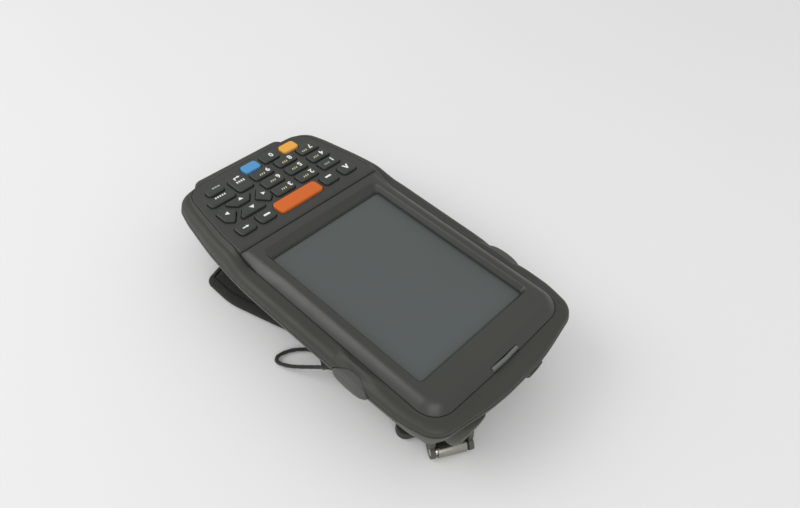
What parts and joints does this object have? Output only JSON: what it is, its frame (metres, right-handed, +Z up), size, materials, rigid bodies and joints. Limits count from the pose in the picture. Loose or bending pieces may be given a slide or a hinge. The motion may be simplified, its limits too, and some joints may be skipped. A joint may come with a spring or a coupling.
{
  "type": "portable barcode data terminal",
  "caption": "Handheld data terminal with colour display, numeric keypad, side scan keys, scan window, stylus, battery cover and hand strap.",
  "frame": {"origin": "on the table under the middle of the housing, where the terminal lies on its strap", "axes": "+Y towards the scan end, +Z up out of the display, +X to the right of the display"},
  "size_m": [0.0864, 0.1526, 0.0343],
  "materials": {
    "case_plastic": "fine moulded texture, charcoal black, slightly polished on the edges",
    "bezel_plastic": "satin black with a soft gloss on the rolled edge",
    "key_rubber": "black keycap plastic, satin, white legends",
    "key_orange_plastic": "satin orange keycap",
    "key_amber_plastic": "satin amber keycap",
    "key_blue_plastic": "satin blue keycap",
    "display_glass": "matte touch film over a switched-off display",
    "rubber": "black moulded rubber",
    "metal": "nickel-plated steel",
    "board": "green solder mask",
    "component": "moulded component bodies",
    "window": "dark red filter window",
    "light_pipe_plastic": "translucent grey light guide",
    "strap_fabric": "black brushed nylon over foam, bound edge",
    "webbing": "black woven nylon webbing",
    "cord": "black braided cord",
    "battery": "dark battery case",
    "gold": "gold-plated contacts"
  },
  "bodies": {
    "housing": {"front_housing": "case_plastic", "rear_housing": "case_plastic", "housing_gasket": "rubber", "display_bezel": "bezel_plastic", "keypad_bezel": "case_plastic", "touch_panel": "display_glass", "display_module": "metal", "display_gasket": "rubber", "light_pipe": "light_pipe_plastic", "main_board": "board", "keypad_board": "board", "dome_switches": "metal", "side_switches": "component", "scan_engine": "component", "scan_window": "window", "infrared_window": "window", "speaker": "component", "radio_module": "metal", "battery_pack": "battery", "battery_contacts": "gold", "dock_connector": "component", "connector_boot": "rubber", "housing_screws": "metal", "board_screws": "metal", "strap_pad": "strap_fabric", "strap_webbing": "webbing", "strap_slider": "component", "strap_clip": "metal", "strap_pin": "metal", "lanyard_post": "metal", "lanyard_loop": "cord"},
    "battery_cover": {"battery_door": "case_plastic"},
    "latch": {"battery_latch": "case_plastic"},
    "stylus": {"stylus": "case_plastic"},
    "scan_key_right": {"scan_key_right": "key_rubber"},
    "scan_key_left": {"scan_key_left": "key_rubber"},
    "key_scan": {"key_scan": "key_orange_plastic"},
    "key_clear": {"key_clear": "key_rubber"},
    "key_minus_left": {"key_minus_left": "key_rubber"},
    "key_minus_right": {"key_minus_right": "key_rubber"},
    "key_back": {"key_back": "key_rubber"},
    "key_1": {"key_1": "key_rubber"},
    "key_2": {"key_2": "key_rubber"},
    "key_3": {"key_3": "key_rubber"},
    "key_4": {"key_4": "key_rubber"},
    "key_5": {"key_5": "key_rubber"},
    "key_6": {"key_6": "key_rubber"},
    "key_7": {"key_7": "key_rubber"},
    "key_8": {"key_8": "key_rubber"},
    "key_9": {"key_9": "key_rubber"},
    "key_0": {"key_0": "key_rubber"},
    "key_orange": {"key_orange": "key_amber_plastic"},
    "key_blue": {"key_blue": "key_blue_plastic"},
    "key_up": {"key_up": "key_rubber"},
    "key_down": {"key_down": "key_rubber"},
    "key_left": {"key_left": "key_rubber"},
    "key_right": {"key_right": "key_rubber"},
    "key_enter": {"key_enter": "key_rubber"},
    "key_wide": {"key_wide": "key_rubber"},
    "key_small": {"key_small": "key_rubber"}
  },
  "joints": [
    {"name": "key_scan_press", "type": "slide", "parent": "housing", "child": "key_scan", "axis": [0, 0.055, -0.9985], "range_m": [0, 0.0007], "stiffness_N_per_m": 900, "springref_m": -0.0006},
    {"name": "key_clear_press", "type": "slide", "parent": "housing", "child": "key_clear", "axis": [0, 0.055, -0.9985], "range_m": [0, 0.0007], "stiffness_N_per_m": 900, "springref_m": -0.0006},
    {"name": "key_minus_left_press", "type": "slide", "parent": "housing", "child": "key_minus_left", "axis": [0, 0.055, -0.9985], "range_m": [0, 0.0007], "stiffness_N_per_m": 900, "springref_m": -0.0006},
    {"name": "key_minus_right_press", "type": "slide", "parent": "housing", "child": "key_minus_right", "axis": [0, 0.055, -0.9985], "range_m": [0, 0.0007], "stiffness_N_per_m": 900, "springref_m": -0.0006},
    {"name": "key_back_press", "type": "slide", "parent": "housing", "child": "key_back", "axis": [0, 0.055, -0.9985], "range_m": [0, 0.0007], "stiffness_N_per_m": 900, "springref_m": -0.0006},
    {"name": "key_1_press", "type": "slide", "parent": "housing", "child": "key_1", "axis": [0, 0.055, -0.9985], "range_m": [0, 0.0007], "stiffness_N_per_m": 900, "springref_m": -0.0006},
    {"name": "key_2_press", "type": "slide", "parent": "housing", "child": "key_2", "axis": [0, 0.055, -0.9985], "range_m": [0, 0.0007], "stiffness_N_per_m": 900, "springref_m": -0.0006},
    {"name": "key_3_press", "type": "slide", "parent": "housing", "child": "key_3", "axis": [0, 0.055, -0.9985], "range_m": [0, 0.0007], "stiffness_N_per_m": 900, "springref_m": -0.0006},
    {"name": "key_4_press", "type": "slide", "parent": "housing", "child": "key_4", "axis": [0, 0.055, -0.9985], "range_m": [0, 0.0007], "stiffness_N_per_m": 900, "springref_m": -0.0006},
    {"name": "key_5_press", "type": "slide", "parent": "housing", "child": "key_5", "axis": [0, 0.055, -0.9985], "range_m": [0, 0.0007], "stiffness_N_per_m": 900, "springref_m": -0.0006},
    {"name": "key_6_press", "type": "slide", "parent": "housing", "child": "key_6", "axis": [0, 0.055, -0.9985], "range_m": [0, 0.0007], "stiffness_N_per_m": 900, "springref_m": -0.0006},
    {"name": "key_7_press", "type": "slide", "parent": "housing", "child": "key_7", "axis": [0, 0.055, -0.9985], "range_m": [0, 0.0007], "stiffness_N_per_m": 900, "springref_m": -0.0006},
    {"name": "key_8_press", "type": "slide", "parent": "housing", "child": "key_8", "axis": [0, 0.055, -0.9985], "range_m": [0, 0.0007], "stiffness_N_per_m": 900, "springref_m": -0.0006},
    {"name": "key_9_press", "type": "slide", "parent": "housing", "child": "key_9", "axis": [0, 0.055, -0.9985], "range_m": [0, 0.0007], "stiffness_N_per_m": 900, "springref_m": -0.0006},
    {"name": "key_0_press", "type": "slide", "parent": "housing", "child": "key_0", "axis": [0, 0.055, -0.9985], "range_m": [0, 0.0007], "stiffness_N_per_m": 900, "springref_m": -0.0006},
    {"name": "key_orange_press", "type": "slide", "parent": "housing", "child": "key_orange", "axis": [0, 0.055, -0.9985], "range_m": [0, 0.0007], "stiffness_N_per_m": 900, "springref_m": -0.0006},
    {"name": "key_blue_press", "type": "slide", "parent": "housing", "child": "key_blue", "axis": [0, 0.055, -0.9985], "range_m": [0, 0.0007], "stiffness_N_per_m": 900, "springref_m": -0.0006},
    {"name": "key_up_press", "type": "slide", "parent": "housing", "child": "key_up", "axis": [0, 0.055, -0.9985], "range_m": [0, 0.0007], "stiffness_N_per_m": 900, "springref_m": -0.0006},
    {"name": "key_down_press", "type": "slide", "parent": "housing", "child": "key_down", "axis": [0, 0.055, -0.9985], "range_m": [0, 0.0007], "stiffness_N_per_m": 900, "springref_m": -0.0006},
    {"name": "key_left_press", "type": "slide", "parent": "housing", "child": "key_left", "axis": [0, 0.055, -0.9985], "range_m": [0, 0.0007], "stiffness_N_per_m": 900, "springref_m": -0.0006},
    {"name": "key_right_press", "type": "slide", "parent": "housing", "child": "key_right", "axis": [0, 0.055, -0.9985], "range_m": [0, 0.0007], "stiffness_N_per_m": 900, "springref_m": -0.0006},
    {"name": "key_enter_press", "type": "slide", "parent": "housing", "child": "key_enter", "axis": [0, 0.055, -0.9985], "range_m": [0, 0.0007], "stiffness_N_per_m": 900, "springref_m": -0.0006},
    {"name": "key_wide_press", "type": "slide", "parent": "housing", "child": "key_wide", "axis": [0, 0.055, -0.9985], "range_m": [0, 0.0007], "stiffness_N_per_m": 900, "springref_m": -0.0006},
    {"name": "key_small_press", "type": "slide", "parent": "housing", "child": "key_small", "axis": [0, 0.055, -0.9985], "range_m": [0, 0.0007], "stiffness_N_per_m": 900, "springref_m": -0.0006},
    {"name": "scan_key_right_press", "type": "slide", "parent": "housing", "child": "scan_key_right", "axis": [-1, 0, 0], "range_m": [0, 0.0008], "stiffness_N_per_m": 1200, "springref_m": -0.0008},
    {"name": "scan_key_left_press", "type": "slide", "parent": "housing", "child": "scan_key_left", "axis": [1, 0, 0], "range_m": [0, 0.0008], "stiffness_N_per_m": 1200, "springref_m": -0.0008},
    {"name": "stylus_slide", "type": "slide", "parent": "housing", "child": "stylus", "axis": [0, 1, 0], "range_m": [0, 0.105]},
    {"name": "battery_cover_slide", "type": "slide", "parent": "housing", "child": "battery_cover", "axis": [0, -1, 0], "range_m": [0, 0.008]},
    {"name": "latch_slide", "type": "slide", "parent": "housing", "child": "latch", "axis": [0, 1, 0], "range_m": [0, 0.0025], "stiffness_N_per_m": 400, "springref_m": -0.001}
  ]
}
